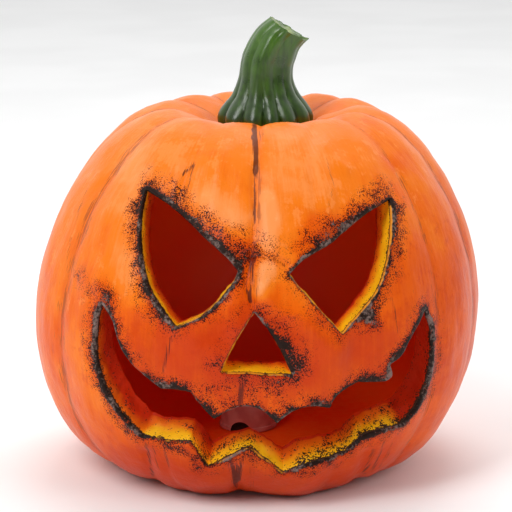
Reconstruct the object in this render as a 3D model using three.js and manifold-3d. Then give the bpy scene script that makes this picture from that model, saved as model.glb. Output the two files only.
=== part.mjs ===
// A carved pumpkin lantern: a moulded, painted copy in rigid foam with a green moulded
// stem and a small light unit inside. Millimetres, +Z up, the face looks along -Y.
// The origin is the middle of the flat foot, on the surface that the lantern stands on.
import * as THREE from 'three';
import { mergeVertices } from 'three/addons/utils/BufferGeometryUtils.js';
import Module from 'manifold-3d';

// ---- driving dimensions -------------------------------------------------------------

const WALL = 17;                  // thickness of the shell
const GAP = 0.3;                  // clearance between pieces that rest on each other

// Half section of the body over its lobe crests, [radius, height], from the middle of the
// foot to the middle of the recess that the stem stands in.
const SECTION = [
  [0, 0], [30, 0], [56, 0], [75.5, 2.6], [94.2, 15.8], [108.5, 42], [114.5, 73], [112, 105],
  [102, 135.5], [87, 160], [69.5, 177], [51.5, 184.5], [35, 180.5], [20, 174], [0, 172],
];
const SECTION_STEPS = 2;          // facets along each span of the section, hollow and all
const HEART = 73;                 // height of the point that the grooves pull towards
const LEAN = 0.03;                // above LEAN_START the body leans to the right, this much
const LEAN_START = 45;            // of the rise, and it crosses the origin's plumb line
const LEAN_PIVOT = 65;            // at LEAN_PIVOT

// The grooves between the lobes: degrees round from the front, positive to the right,
// and the depth of each as a share of the deepest.
const GROOVES = [
  [-149, 1], [-123, 0.9], [-93, 1], [-59, 0.9], [-26, 0.6], [-1, 0.8], [24, 0.6],
  [52, 0.8], [78, 1], [105, 0.9], [131, 1], [157, 0.9], [183, 1],
];
const GROOVE_DEPTH = 0.028;       // of the deepest, as a share of the distance from the heart
const GROOVE_ROUNDNESS = 0.55;    // lower is a narrower groove
const LOBE_FACETS = 6;
const CAVITY_FACETS = 32;
const FOOT_FLAT = 30;             // the foot is one flat disc out to here
const FOOT_FADE = 30;             // and the grooves grow to full depth over this much more
const RECESS_FADE = 30;           // the grooves run out towards the stem within this radius

// Openings, [x, height] as seen from the front. Each stroke is one smooth edge between two
// sharp corners. The cut walls all point at the opening's own aim point inside the body.
const LEFT_EYE = {
  aim: [20, 250, 68],
  strokes: [
    [[-53, 155.5], [-41, 150], [-26, 139], [-13, 128.5], [-8.5, 123.5]],
    [[-8.5, 123.5], [-12.5, 117], [-24, 104.5], [-38.5, 96]],
    [[-38.5, 96], [-45, 104], [-52, 115.5], [-55.5, 131], [-55.5, 147], [-53, 155.5]],
  ],
};
const RIGHT_EYE = {
  aim: [0, 75, 96],
  strokes: [
    [[65.5, 151], [66, 141], [64, 125], [58.5, 111.5], [50, 101.5], [41.5, 93]],
    [[41.5, 93], [28.5, 108], [15.8, 122]],
    [[15.8, 122], [24, 129], [38, 136], [52, 145.5], [65.5, 151]],
  ],
};
const NOSE = {
  aim: [2, 0, 90],
  strokes: [
    [[-1, 104.5], [7, 94], [13, 83.5], [17.5, 74]],
    [[17.5, 74], [-0.5, 75.2], [-16.5, 75.6]],
    [[-16.5, 75.6], [-11, 88], [-6, 96], [-1, 104.5]],
  ],
};
const MOUTH = {
  aim: [6, 100, 150],
  strokes: [
    [[-75.5, 102], [-70, 94], [-67, 84.5], [-60.5, 75], [-50, 66.5], [-46, 64.2]],
    [[-46, 64.2], [-38.5, 64.6], [-31.5, 64.2]],
    [[-31.5, 64.2], [-27, 58], [-20.2, 50.7]],
    [[-20.2, 50.7], [-13, 55.5], [-4.5, 57.8], [2.5, 55.5], [10, 48.4]],
    [[10, 48.4], [18, 54.8], [26.5, 57.2], [36, 55.2]],
    [[36, 55.2], [40, 62], [49.5, 67]],
    [[49.5, 67], [56, 66.2], [63, 65.4]],
    [[63, 65.4], [66.5, 68], [65.6, 73.8]],
    [[65.6, 73.8], [71, 77.5], [76.5, 86], [83.5, 97]],
    [[83.5, 97], [86.6, 86], [86.7, 74], [84.5, 58.5], [79.5, 47.5], [72, 39]],
    [[72, 39], [62, 38.7], [51.5, 36.2]],
    [[51.5, 36.2], [43.5, 28]],
    [[43.5, 28], [36, 26.2], [23, 24.5], [13.4, 20]],
    [[13.4, 20], [5, 27], [-3.6, 34.4]],
    [[-3.6, 34.4], [-13, 29.7], [-23.5, 23.2]],
    [[-23.5, 23.2], [-28, 31], [-32.5, 37.2]],
    [[-32.5, 37.2], [-44, 36], [-55.5, 36.6]],
    [[-55.5, 36.6], [-66, 47.5], [-74, 60.5], [-78.5, 75], [-78, 91], [-75.5, 102]],
  ],
};
const CUT_IN = 45;                // a cutter reaches about this far into the body
const CUT_OUT = 80;               // and stands this far out of it

// The stem's axis, foot to cut end: [x, height, radius, lean to the right in degrees].
const STEM_RINGS = [
  [4.8, 166, 24, 0], [4.8, 176, 24.4, 0], [4.8, 182, 23.6, 0], [4.9, 187, 20.8, 0],
  [5, 192, 16.6, 0], [5, 200, 13.7, 2], [5.6, 206, 13.3, 7], [7, 211, 13.1, 14],
  [11, 219, 12.1, 25], [16.2, 224.1, 10.9, 33],
];
// Crest lines of the ribs, degrees round from the front, positive to the right.
const STEM_RIBS = [-86, -50, -14, 10, 33, 64, 96, 128, 160, 190, 216, 244];
const STEM_RIB_FACETS = 4;
const RIB_DEPTH = 0.11;           // groove depth between ribs, as a share of the radius

const LIGHT = { x: -4, y: -6, radius: 15, height: 20, shoulder: 6, facets: 28 };
const NOTCH = { x: -4, width: 10.4, height: 5.6, depth: 5, facets: 6 };

// ---- helpers ------------------------------------------------------------------------

const wasm = await Module();
wasm.setup();

function solidOf(geometry) {
  geometry.deleteAttribute('normal');
  geometry.deleteAttribute('uv');
  const merged = mergeVertices(geometry, 1e-4);
  return new wasm.Manifold(new wasm.Mesh({
    numProp: 3,
    vertProperties: new Float32Array(merged.attributes.position.array),
    triVerts: new Uint32Array(merged.index.array),
  }));
}

function geometryOf(solid) {
  const mesh = solid.getMesh();
  const geometry = new THREE.BufferGeometry();
  geometry.setAttribute('position', new THREE.BufferAttribute(mesh.vertProperties, 3));
  geometry.setIndex(new THREE.BufferAttribute(mesh.triVerts, 1));
  geometry.computeVertexNormals();
  return geometry;
}

function indexed(points, triangles) {
  const geometry = new THREE.BufferGeometry();
  geometry.setAttribute('position', new THREE.Float32BufferAttribute(points.flat(), 3));
  geometry.setIndex(triangles.flat());
  return geometry;
}

// A closed skin over rings of equal length, with one point at each end.
function skinOver(rings, first, last) {
  const size = rings[0].length;
  const points = [first, ...rings.flat(), last];
  const end = points.length - 1;
  const at = (ring, i) => 1 + ring * size + (i % size);
  const triangles = [];
  for (let i = 0; i < size; i++) {
    triangles.push([0, at(0, i + 1), at(0, i)]);
    triangles.push([end, at(rings.length - 1, i), at(rings.length - 1, i + 1)]);
    for (let ring = 0; ring < rings.length - 1; ring++) {
      triangles.push([at(ring, i), at(ring, i + 1), at(ring + 1, i)]);
      triangles.push([at(ring, i + 1), at(ring + 1, i + 1), at(ring + 1, i)]);
    }
  }
  return indexed(points, triangles);
}

const curveThrough = (pairs) => new THREE.SplineCurve(pairs.map(([x, y]) => new THREE.Vector2(x, y)));
const ramp = (value, from, to) => THREE.MathUtils.smoothstep(value, from, to);
const rad = THREE.MathUtils.degToRad;

// ---- body ---------------------------------------------------------------------------

const section = curveThrough(SECTION).getPoints((SECTION.length - 1) * SECTION_STEPS);

// Radius of the smooth body at a height between the foot and the crest.
function radiusAt(height) {
  const fine = curveThrough(SECTION).getPoints(280);
  const upper = fine.findIndex((p) => p.x > FOOT_FLAT && p.y >= height);
  const [a, b] = [fine[upper - 1], fine[upper]];
  return a.x + (b.x - a.x) * (height - a.y) / (b.y - a.y);
}

// How much of the groove depth is left at this radius, on the underside or the top.
function grooveReach(radius, height) {
  if (height < HEART) return ramp(radius, FOOT_FLAT, FOOT_FLAT + FOOT_FADE);
  return Math.min(1, radius / RECESS_FADE);
}

// How far the middle of the body is to the right at a height.
const leanAt = (height) => LEAN * (Math.max(height, LEAN_START) - LEAN_PIVOT);

// A point of the body, round from the front by an angle.
function spot(radius, height, angle) {
  return [leanAt(height) + radius * Math.sin(angle), -radius * Math.cos(angle), height];
}

// The lobed outer surface, drawn larger or smaller about its heart.
function body(scale = 1) {
  const azimuths = [];
  GROOVES.forEach(([from, depthFrom], i) => {
    const last = i === GROOVES.length - 1;
    const [to, depthTo] = last ? [GROOVES[0][0] + 360, GROOVES[0][1]] : GROOVES[i + 1];
    for (let k = 0; k < LOBE_FACETS; k++) {
      const across = k / LOBE_FACETS;
      const depth = across < 0.5 ? depthFrom : depthTo;
      azimuths.push({
        angle: rad(from + (to - from) * across),
        groove: depth * (1 - Math.sin(Math.PI * across) ** GROOVE_ROUNDNESS),
      });
    }
  });
  const place = (radius, height, angle, groove) => {
    const pull = scale * (1 - GROOVE_DEPTH * groove * grooveReach(radius, height));
    return spot(radius * pull, HEART + (height - HEART) * pull, angle);
  };
  const rings = section.slice(1, -1).map((p) => (
    azimuths.map(({ angle, groove }) => place(p.x, Math.max(0, p.y), angle, groove))));
  const foot = place(0, section[0].y, 0, 0);
  const top = place(0, section.at(-1).y, 0, 0);
  return solidOf(skinOver(rings, foot, top));
}

// The smooth hollow, one wall thickness inside the section.
function cavity() {
  const curve = curveThrough(SECTION);
  const steps = (SECTION.length - 1) * SECTION_STEPS;
  const line = [];
  for (let i = 0; i <= steps; i++) {
    const point = curve.getPoint(i / steps);
    const along = curve.getTangent(i / steps);
    line.push([point.x - along.y * WALL, point.y + along.x * WALL]);
  }
  const ringAt = ([radius, height]) => Array.from({ length: CAVITY_FACETS }, (_, i) => (
    spot(radius, height, (i / CAVITY_FACETS) * 2 * Math.PI)));
  const rings = line.slice(1, -1).map(ringAt);
  return solidOf(skinOver(rings, spot(...line[0], 0), spot(...line.at(-1), 0)));
}

// A block with the opening's outline that narrows towards its aim point.
function cutter({ aim, strokes }) {
  const outline = strokes.flatMap((stroke) => {
    const parts = (stroke.length - 1) * 2;
    return curveThrough(stroke).getPoints(parts).slice(0, -1);
  });
  if (THREE.ShapeUtils.isClockWise(outline)) outline.reverse();
  const rim = outline.map((p) => {
    const side = p.x - leanAt(p.y);
    return [p.x, -Math.sqrt(radiusAt(p.y) ** 2 - side ** 2), p.y];
  });
  const reach = Math.hypot(...rim[0].map((v, axis) => v - aim[axis]));
  const moved = (distance) => rim.map((p) => (
    p.map((v, axis) => v + (v - aim[axis]) * distance / reach)));
  const count = rim.length;
  const triangles = [];
  for (const [a, b, c] of THREE.ShapeUtils.triangulateShape(outline, [])) {
    triangles.push([a, b, c]);
    triangles.push([count + a, count + c, count + b]);
  }
  for (let i = 0; i < count; i++) {
    const next = (i + 1) % count;
    triangles.push([i, count + i, next]);
    triangles.push([next, count + i, count + next]);
  }
  return solidOf(indexed([...moved(CUT_OUT), ...moved(-CUT_IN)], triangles));
}

function shell() {
  let solid = body().subtract(cavity());
  for (const opening of [LEFT_EYE, RIGHT_EYE, NOSE, MOUTH]) {
    solid = solid.subtract(cutter(opening));
  }
  return geometryOf(solid);
}

// ---- stem ---------------------------------------------------------------------------

// A ribbed stalk that flares at its foot, leans over at the top and ends in a slanted cut.
function stem() {
  const sides = STEM_RIBS.flatMap((from, i) => {
    const to = STEM_RIBS[i + 1] ?? STEM_RIBS[0] + 360;
    return Array.from({ length: STEM_RIB_FACETS }, (_, k) => {
      const across = k / STEM_RIB_FACETS;
      return { angle: rad(from + (to - from) * across), valley: Math.sin(Math.PI * across) ** 1.5 };
    });
  });
  const ring = ([x, height, radius, lean]) => sides.map(({ angle, valley }) => {
    const r = radius * (1 - RIB_DEPTH * valley);
    const side = r * Math.sin(angle);
    return [
      x + side * Math.cos(rad(lean)),
      -r * Math.cos(angle),
      height - side * Math.sin(rad(lean)),
    ];
  });
  const [firstX, firstHeight] = STEM_RINGS[0];
  const [lastX, lastHeight] = STEM_RINGS.at(-1);
  const whole = solidOf(skinOver(STEM_RINGS.map(ring), [firstX, 0, firstHeight], [lastX, 0, lastHeight]));
  const clearance = 1 + 1.2 * GAP / (SECTION.at(-1)[1] - HEART);
  return geometryOf(whole.subtract(body(clearance)));
}

// ---- light unit ---------------------------------------------------------------------

// A low domed unit on the floor of the hollow, with an arched notch at the front, to the left.
function lightUnit() {
  const { radius, height, shoulder, facets } = LIGHT;
  const profile = [new THREE.Vector2(0, 0), new THREE.Vector2(radius, 0)];
  const wallTop = height - shoulder;
  const arcSteps = 5;
  for (let i = 0; i < arcSteps; i++) {
    const turn = (i / arcSteps) * Math.PI / 2;
    profile.push(new THREE.Vector2((radius - 1) * Math.cos(turn), wallTop + shoulder * Math.sin(turn)));
  }
  profile.push(new THREE.Vector2(0, height));
  const dome = new THREE.LatheGeometry(profile, facets);
  dome.rotateX(Math.PI / 2);

  const arch = new THREE.Shape();
  const half = NOTCH.width / 2;
  arch.moveTo(-half, -1);
  arch.lineTo(half, -1);
  arch.lineTo(half, NOTCH.height - half);
  arch.absarc(0, NOTCH.height - half, half, 0, Math.PI);
  arch.lineTo(-half, -1);
  const notch = new THREE.ExtrudeGeometry(arch, {
    depth: NOTCH.depth * 2, bevelEnabled: false, curveSegments: NOTCH.facets,
  });
  notch.rotateX(Math.PI / 2);
  notch.translate(NOTCH.x, NOTCH.depth - radius, 0);
  return geometryOf(solidOf(dome).subtract(solidOf(notch)));
}

// ---- the lantern --------------------------------------------------------------------

function piece(name, geometry, color, roughness) {
  const mesh = new THREE.Mesh(
    geometry,
    new THREE.MeshStandardMaterial({ color, roughness, metalness: 0 }),
  );
  mesh.name = name;
  return mesh;
}

const lantern = new THREE.Group();
lantern.add(piece('shell', shell(), 0xe8651c, 0.38));
lantern.add(piece('stem', stem(), 0x35602b, 0.28));

const light = piece('light_unit', lightUnit(), 0xb59aa6, 0.5);
light.position.set(LIGHT.x, LIGHT.y, WALL + GAP);
lantern.add(light);

export default lantern;
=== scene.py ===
import math

import bpy
import numpy as np
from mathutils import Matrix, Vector, noise
from mathutils.geometry import delaunay_2d_cdt
from mathutils.kdtree import KDTree


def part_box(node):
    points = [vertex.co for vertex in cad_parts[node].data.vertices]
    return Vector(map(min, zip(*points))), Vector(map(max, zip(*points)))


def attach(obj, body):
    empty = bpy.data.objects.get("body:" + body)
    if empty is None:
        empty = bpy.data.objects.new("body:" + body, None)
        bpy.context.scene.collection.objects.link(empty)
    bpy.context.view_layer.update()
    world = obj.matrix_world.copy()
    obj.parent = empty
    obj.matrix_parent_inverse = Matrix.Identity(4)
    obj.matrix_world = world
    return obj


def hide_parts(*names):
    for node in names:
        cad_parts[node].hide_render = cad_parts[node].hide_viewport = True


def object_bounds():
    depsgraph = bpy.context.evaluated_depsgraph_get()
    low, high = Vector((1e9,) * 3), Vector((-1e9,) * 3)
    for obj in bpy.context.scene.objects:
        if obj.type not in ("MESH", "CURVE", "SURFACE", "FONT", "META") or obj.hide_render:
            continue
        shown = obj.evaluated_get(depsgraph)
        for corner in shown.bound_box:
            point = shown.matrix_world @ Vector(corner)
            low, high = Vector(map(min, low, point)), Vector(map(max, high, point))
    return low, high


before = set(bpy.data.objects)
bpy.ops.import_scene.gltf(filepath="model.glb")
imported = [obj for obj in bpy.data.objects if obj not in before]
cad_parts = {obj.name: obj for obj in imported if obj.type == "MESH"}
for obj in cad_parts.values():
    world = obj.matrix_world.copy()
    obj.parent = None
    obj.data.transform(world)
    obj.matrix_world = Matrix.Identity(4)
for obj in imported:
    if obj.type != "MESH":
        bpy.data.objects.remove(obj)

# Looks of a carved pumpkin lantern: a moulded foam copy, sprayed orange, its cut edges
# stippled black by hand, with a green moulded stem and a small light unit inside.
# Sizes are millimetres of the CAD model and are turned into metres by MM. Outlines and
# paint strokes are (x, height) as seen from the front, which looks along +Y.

CAD_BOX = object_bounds()
SHELL_LOW, SHELL_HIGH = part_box("shell")

# ---- the CAD model's driving sizes ----

WALL = 17.0
SECTION = [
    (0, 0), (30, 0), (56, 0), (75.5, 2.6), (94.2, 15.8), (108.5, 42), (114.5, 73), (112, 105),
    (102, 135.5), (87, 160), (69.5, 177), (51.5, 184.5), (35, 180.5), (20, 174), (0, 172),
]
CREST = 184.5  # height of the body's highest line
MM = (SHELL_HIGH.z - SHELL_LOW.z) / CREST
EQUATOR = 114.5
HEART = 73.0
LEAN, LEAN_START, LEAN_PIVOT = 0.03, 45.0, 65.0
GROOVES = [
    (-149, 1), (-123, 0.9), (-93, 1), (-59, 0.9), (-26, 0.6), (-1, 0.8), (24, 0.6),
    (52, 0.8), (78, 1), (105, 0.9), (131, 1), (157, 0.9), (183, 1),
]
GROOVE_DEPTH = 0.028
GROOVE_ROUNDNESS = 0.55
GROOVE_SOFTNESS = 0.005  # rounds the bottom of each groove
FOOT_FLAT, FOOT_FADE, RECESS_FADE = 30.0, 30.0, 30.0

# Each opening: the point its walls aim at, and strokes between sharp corners. A stroke is
# (reach of the black paint round it, share of yellow on its wall, points).
LEFT_EYE = ((20, 250, 68), [
    (4.6, 0.2, [(-53, 155.5), (-41, 150), (-26, 139), (-13, 128.5), (-8.5, 123.5)]),
    (3.6, 1, [(-8.5, 123.5), (-12.5, 117), (-24, 104.5), (-38.5, 96)]),
    (3.4, 0.7, [(-38.5, 96), (-45, 104), (-52, 115.5), (-55.5, 131), (-55.5, 147), (-53, 155.5)]),
])
RIGHT_EYE = ((0, 75, 96), [
    (3.2, 1, [(65.5, 151), (66, 141), (64, 125), (58.5, 111.5), (50, 101.5), (41.5, 93)]),
    (1.8, 1, [(41.5, 93), (28.5, 108), (15.8, 122)]),
    (3.8, 0.3, [(15.8, 122), (24, 129), (38, 136), (52, 145.5), (65.5, 151)]),
])
NOSE = ((2, 0, 90), [
    (3, 0.3, [(-1, 104.5), (7, 94), (13, 83.5), (17.5, 74)]),
    (1.2, 1, [(17.5, 74), (-0.5, 75.2), (-16.5, 75.6)]),
    (1.4, 1, [(-16.5, 75.6), (-11, 88), (-6, 96), (-1, 104.5)]),
])
MOUTH = ((6, 100, 150), [
    (2.4, 0.3, [(-75.5, 102), (-70, 94), (-67, 84.5), (-60.5, 75), (-50, 66.5), (-46, 64.2)]),
    (3, 0.3, [(-46, 64.2), (-38.5, 64.6), (-31.5, 64.2)]),
    (1.6, 0.4, [(-31.5, 64.2), (-27, 58), (-20.2, 50.7)]),
    (2.6, 0.4, [(-20.2, 50.7), (-13, 55.5), (-4.5, 57.8), (2.5, 55.5), (10, 48.4)]),
    (2.4, 0.4, [(10, 48.4), (18, 54.8), (26.5, 57.2), (36, 55.2)]),
    (2.6, 0.4, [(36, 55.2), (40, 62), (49.5, 67)]),
    (3, 0.3, [(49.5, 67), (56, 66.2), (63, 65.4)]),
    (3, 0.3, [(63, 65.4), (66.5, 68), (65.6, 73.8)]),
    (3.2, 0.3, [(65.6, 73.8), (71, 77.5), (76.5, 86), (83.5, 97)]),
    (3.6, -0.3, [(83.5, 97), (86.6, 86), (86.7, 74), (84.5, 58.5), (79.5, 47.5), (72, 39)]),
    (2.8, 0.8, [(72, 39), (62, 38.7), (51.5, 36.2)]),
    (1.6, 0.8, [(51.5, 36.2), (43.5, 28)]),
    (2, 0.8, [(43.5, 28), (36, 26.2), (23, 24.5), (13.4, 20)]),
    (1.5, 0.9, [(13.4, 20), (5, 27), (-3.6, 34.4)]),
    (1.6, 0.9, [(-3.6, 34.4), (-13, 29.7), (-23.5, 23.2)]),
    (1, 0.5, [(-23.5, 23.2), (-28, 31), (-32.5, 37.2)]),
    (1.4, 0.9, [(-32.5, 37.2), (-44, 36), (-55.5, 36.6)]),
    (3.6, 0.2, [(-55.5, 36.6), (-66, 47.5), (-74, 60.5), (-78.5, 75), (-78, 91), (-75.5, 102)]),
])
OPENINGS = [LEFT_EYE, RIGHT_EYE, NOSE, MOUTH]

# ---- paint strokes on the front: (strength, half width, points) ----

BLACK_STROKES = [
    (0.75, 6, [(-30, 147), (-21, 141), (-13, 134)]),
    (0.55, 5.5, [(-50, 159), (-38, 154)]),
    (0.45, 8, [(-8, 136), (2, 133)]),
    (1, 2.6, [(-9, 126), (-4, 129)]),
    (0.58, 2.8, [(-60, 148), (-61, 136), (-58, 122), (-52, 109), (-44, 98)]),
    (0.45, 7, [(-52, 108), (-45, 98)]),
    (0.6, 3.6, [(-9, 120), (-15, 113), (-24, 104)]),
    (0.8, 3.6, [(30, 137), (39, 142)]),
    (0.8, 4, [(44, 145), (53, 152), (61, 156)]),
    (0.45, 6, [(24, 136), (34, 142)]),
    (0.75, 3.2, [(69, 147), (70, 133), (67, 119)]),
    (0.65, 3, [(63, 110), (55, 101), (49, 95)]),
    (1.5, 3.6, [(52, 101), (57, 96)]),
    (0.35, 4, [(17, 121), (25, 110), (36, 97)]),
    (0.75, 3.4, [(4, 103), (11, 99)]),
    (0.95, 3.6, [(14, 91), (18, 84), (21, 76)]),
    (0.45, 7, [(12, 97), (21, 82)]),
    (0.4, 5, [(-6, 100), (-15, 86), (-19, 80)]),
    (0.8, 2.4, [(-14, 73), (-5, 73)]),
    (0.75, 2.6, [(0, 72), (16, 71)]),
    (0.35, 7, [(-20, 66), (15, 66)]),
    (0.6, 3, [(-79, 98), (-82, 84), (-80, 70), (-75, 56), (-67, 43), (-57, 34)]),
    (1.2, 3.2, [(-72, 106), (-70, 96), (-68, 86), (-60, 78)]),
    (0.4, 7, [(-84, 109), (-76, 108)]),
    (1.3, 3.4, [(-52, 71), (-44, 67), (-34, 66)]),
    (1.2, 3.2, [(-28, 61), (-19, 53)]),
    (1.05, 3.2, [(2, 57), (10, 51), (18, 57)]),
    (1.3, 3.4, [(28, 60), (38, 58), (43, 65)]),
    (1.35, 3.4, [(50, 70), (63, 69), (67, 74)]),
    (1.35, 3.2, [(67, 77), (75, 86), (82, 99)]),
    (0.62, 3.2, [(87, 92), (88, 74), (86, 58), (80, 45)]),
    (0.9, 2.4, [(-46, 33), (-34, 33), (-27, 24)]),
    (0.8, 2.4, [(-14, 27), (-4, 31), (4, 24)]),
    (0.7, 3, [(47, 31), (58, 36), (66, 36)]),
    (0.55, 3, [(20, 22), (38, 24)]),
]
# Black sponged on the cut walls of the lower lip.
WALL_STROKES = [
    (0.3, 6, [(-16, 26), (-8, 33), (-3, 34)]),
    (0.38, 8, [(27, 27), (40, 30)]),
    (0.34, 7, [(53, 40), (66, 42)]),
    (0.3, 5, [(-32, 38), (-26, 28)]),
]
# Thin brushed lines of dry dark paint.
BRUSHED_LINES = [
    (0.65, 1.2, [(-34, 166), (-40, 156), (-43, 148)]),
    (0.6, 1.1, [(60, 158), (65, 148)]),
    (0.6, 1.2, [(-84, 150), (-92, 128), (-94, 110)]),
    (0.7, 1.3, [(-30, 168), (-35, 152)]),
    (0.6, 1.2, [(34, 168), (37, 160), (34, 150)]),
    (0.75, 1.2, [(-8, 128), (1, 130), (9, 128.5), (14, 126)]),
    (0.75, 1.2, [(-2, 129), (-5, 117), (-2, 108)]),
    (0.45, 1.5, [(-9, 31), (-9.5, 12)]),
    (0.65, 1.5, [(68, 30), (62, 14)]),
    (1.5, 1.3, [(-1, 184), (0, 175), (0, 167)]),
    (0.95, 0.9, [(0, 170), (-0.5, 155), (-1, 128)]),
    (0.9, 0.9, [(-1, 128), (-3, 110)]),
    (0.95, 2.4, [(-6, 72), (-8, 58)]),
    (0.8, 1.8, [(-41, 91), (-45, 73)]),
    (0.8, 1.7, [(-54, 33), (-53, 20), (-52, 8)]),
    (0.7, 1.4, [(-50, 33), (-48, 18)]),
    (0.75, 1.8, [(-45, 34), (-42, 21)]),
    (0.9, 2, [(-13, 30), (-11, 17), (-10, 6)]),
    (0.8, 1.6, [(-6, 30), (-8, 14)]),
    (0.75, 1.7, [(58, 28), (54, 10)]),
    (0.75, 1.7, [(63, 32), (58, 11)]),
    (0.75, 1.5, [(65, 107), (69, 90)]),
    (0.55, 0.9, [(-30, 175), (-20, 184)]),
    (0.5, 0.9, [(-35, 164), (-29, 169)]),
    (0.5, 0.9, [(61, 174), (64, 166)]),
    (0.4, 0.6, [(36, 179), (53, 173)]),
    (0.45, 0.8, [(58, 181), (70, 176), (81, 167)]),
    (0.5, 0.9, [(107, 110), (111, 91)]),
]
# Painted highlights: lighter, peach paint over the moulded bumps where they catch the light.
PAINTED_HIGHLIGHT_STROKES = [
    (1.6, 4, [(5, 155), (7, 145), (5, 136)]),
    (1.5, 4.2, [(5, 124), (2, 114)]),
    (0.7, 9, [(-22, 154), (-12, 146)]),
    (0.35, 9, [(-60, 158), (-64, 146)]),
    (0.5, 8, [(-62, 122), (-58, 108)]),
    (0.4, 12, [(-36, 172), (-52, 166)]),
    (0.5, 14, [(30, 160), (14, 170)]),
]
# Deeper red-orange: paint over the eyes and round the nose and mouth, and painted shade under the
# body and down the right side.
DEEP_PAINT_AND_SHADE_STROKES = [
    (0.8, 6, [(-20, 140), (-4, 132)]),
    (0.5, 7, [(22, 136), (34, 144)]),
    (1, 24, [(-46, 86), (-20, 80), (20, 80), (50, 84)]),
    (0.6, 16, [(-2, 112), (0, 92)]),
    (0.8, 20, [(-60, 18), (0, 10), (60, 18)]),
    (0.5, 30, [(92, 120), (92, 60)]),
]
# Moulded bumps and folds: (height, half width, points), folds are negative.
BUMPS = [
    (-1.2, 2.6, [(-31, 176), (-36, 152)]),
    (1, 2.6, [(33, 177), (36, 171), (43, 166)]),
    (-1, 2.6, [(26, 178), (29, 148)]),
    (0.9, 6, [(-48, 172), (-52, 156)]),
    (1, 5, [(-18, 172), (-20, 150)]),
    (2.4, 12, [(24, 16), (24, 2)]),
    (1.8, 12, [(-34, 18), (-32, 2)]),
    (-2, 3.4, [(-10, 22), (-8, 0)]),
    (-1.6, 3.4, [(54, 26), (50, 0)]),
    (-1.6, 3.4, [(-54, 26), (-50, 0)]),
    (1, 9, [(-36, 172), (-42, 160)]),
    (1, 9, [(30, 172), (36, 160)]),
    (2.4, 4.5, [(5, 123), (3, 114)]),
    (1.1, 4.5, [(5, 152), (7, 137)]),
    (-1.3, 1.4, [(-1, 168), (-1, 150), (-2, 133)]),
    (-2, 1.8, [(-7, 130), (1, 131), (9, 129), (15, 126)]),
    (-1.8, 1.8, [(-2, 130), (-5, 117), (-1, 107)]),
    (1.2, 5, [(-10, 108), (-8, 98)]),
    (0.9, 4, [(6, 110), (14, 104)]),
    (-0.8, 1.8, [(-41, 92), (-46, 72)]),
    (-0.8, 2, [(-6, 73), (-9, 58)]),
    (1, 6, [(-24, 153), (-14, 146)]),
    (1.1, 7, [(-62, 120), (-54, 104)]),
    (1.1, 8, [(-30, 92), (-20, 82)]),
    (1.3, 8, [(28, 96), (36, 84)]),
    (-0.9, 2.4, [(18, 118), (34, 99)]),
    (1, 5, [(22, 103), (38, 84)]),
    (0.9, 6, [(-84, 112), (-74, 112)]),
]

# ---- mesh and finish of the shell ----

RIM_RADIUS = 1.7  # the moulded edge round every opening
RIM_ROWS = [0.22, 0.5, 0.85, 1.3, 1.9, 2.7, 3.7, 4.8]
RIM_FINE = 2.5  # rows further out have half the points
RIM_CLEAR = 5.6  # the plain grid starts this far from an opening
INSIDE_CLEAR = 0.6  # the same for the hollow, as a share of its step
LINE_STEP, LINE_OFFSETS = 1.3, (-2, -1.1, -0.4, 0.4, 1.1, 2)
LINE_SIDE, LINE_TOP = 90, 168.5  # lines past these are left to the plain grid
CRACK_LOW, CRACK_LENGTH = 150.0, 66.0  # the front crack: from this height, over the crest
CRACK_COLUMNS = np.arange(-4, 3.1, 0.7)
FACE_STEP, SKIN_STEP, INSIDE_STEP = 1.45, 3.0, 5.0
END_GAP = 3.0  # the skin's rows stop this far from its two ends
FACE_TURN = math.radians(72)
FACE_LOW, FACE_HIGH = 8.0, 168.0
EDGE_STEP = 0.85  # points along an opening's edge
EDGE_SOFTENING, EDGE_WOBBLE = 0.35, 0.30
WALL_STEPS, WALL_CROWDING = 9, 1.15
FRONT = 5.0  # strokes only count in front of this y
# Unevenness: (height, size, how much of the height is counted, seed).
UNEVENNESS = [(0.6, 36, 1, 1), (0.5, 14, 1, 2), (0.38, 7, 0.16, 4), (0.08, 4.5, 1, 3)]
FOOT_EVEN = (60, 45)  # it fades out between these radii under the body
# Black round an opening: its strength at a light edge, what a heavy edge adds, the share of
# the edge's reach that it covers, a wide haze and its reach, and the weight of the strokes.
BLACK_LIGHT, BLACK_HEAVY, BLACK_REACH = 0.55, 0.45, 0.62
HAZE, HAZE_REACH, STROKE_SHARE = 0.2, 8, 0.52
SOOT_REACH = 0.35  # the same reach on the cut walls
# Painted light and shade: the paint is paler towards the top, where the light falls, and deeper
# towards the foot, in shade, between these heights.
PAINTED_LIGHT_TOP, PAINTED_LIGHT_HEIGHTS = 0.35, (60, 150)
PAINTED_SHADE_FOOT, PAINTED_SHADE_HEIGHTS = 0.3, (45, 5)
TAU = 2 * math.pi


def curve_through(points, steps):
    """A smooth curve through the points, as the CAD model draws it."""
    p = np.array(points, float)
    p = np.vstack([p[:1], p, p[-1:]])
    t = np.linspace(0, 1, steps, endpoint=False)[:, None]
    spans = []
    for a, b, c, d in zip(p, p[1:], p[2:], p[3:]):
        bend = 2 * a - 5 * b + 4 * c - d
        twist = 3 * b - a - 3 * c + d
        spans.append(b + 0.5 * ((c - a) * t + bend * t ** 2 + twist * t ** 3))
    return np.vstack(spans + [p[-1:]])


def lengths_along(points):
    """Distance from the first point to each point of a line."""
    steps = np.linalg.norm(np.diff(points, axis=0), axis=1)
    return np.concatenate([[0], np.cumsum(steps)])


def unit(vectors):
    """The vectors at length 1."""
    return vectors / np.linalg.norm(vectors, axis=1)[:, None]


def tangents(loop):
    """The way along a closed line at each of its points."""
    return np.roll(loop, -1, axis=0) - np.roll(loop, 1, axis=0)


def outward(loop):
    """The way out of a flat closed line, drawn counterclockwise, at each of its points."""
    way = tangents(loop)
    return unit(np.column_stack([way[:, 1], -way[:, 0]]))


def tree_of(points):
    tree = KDTree(len(points))
    for i, p in enumerate(points):
        tree.insert(p, i)
    tree.balance()
    return tree


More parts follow.
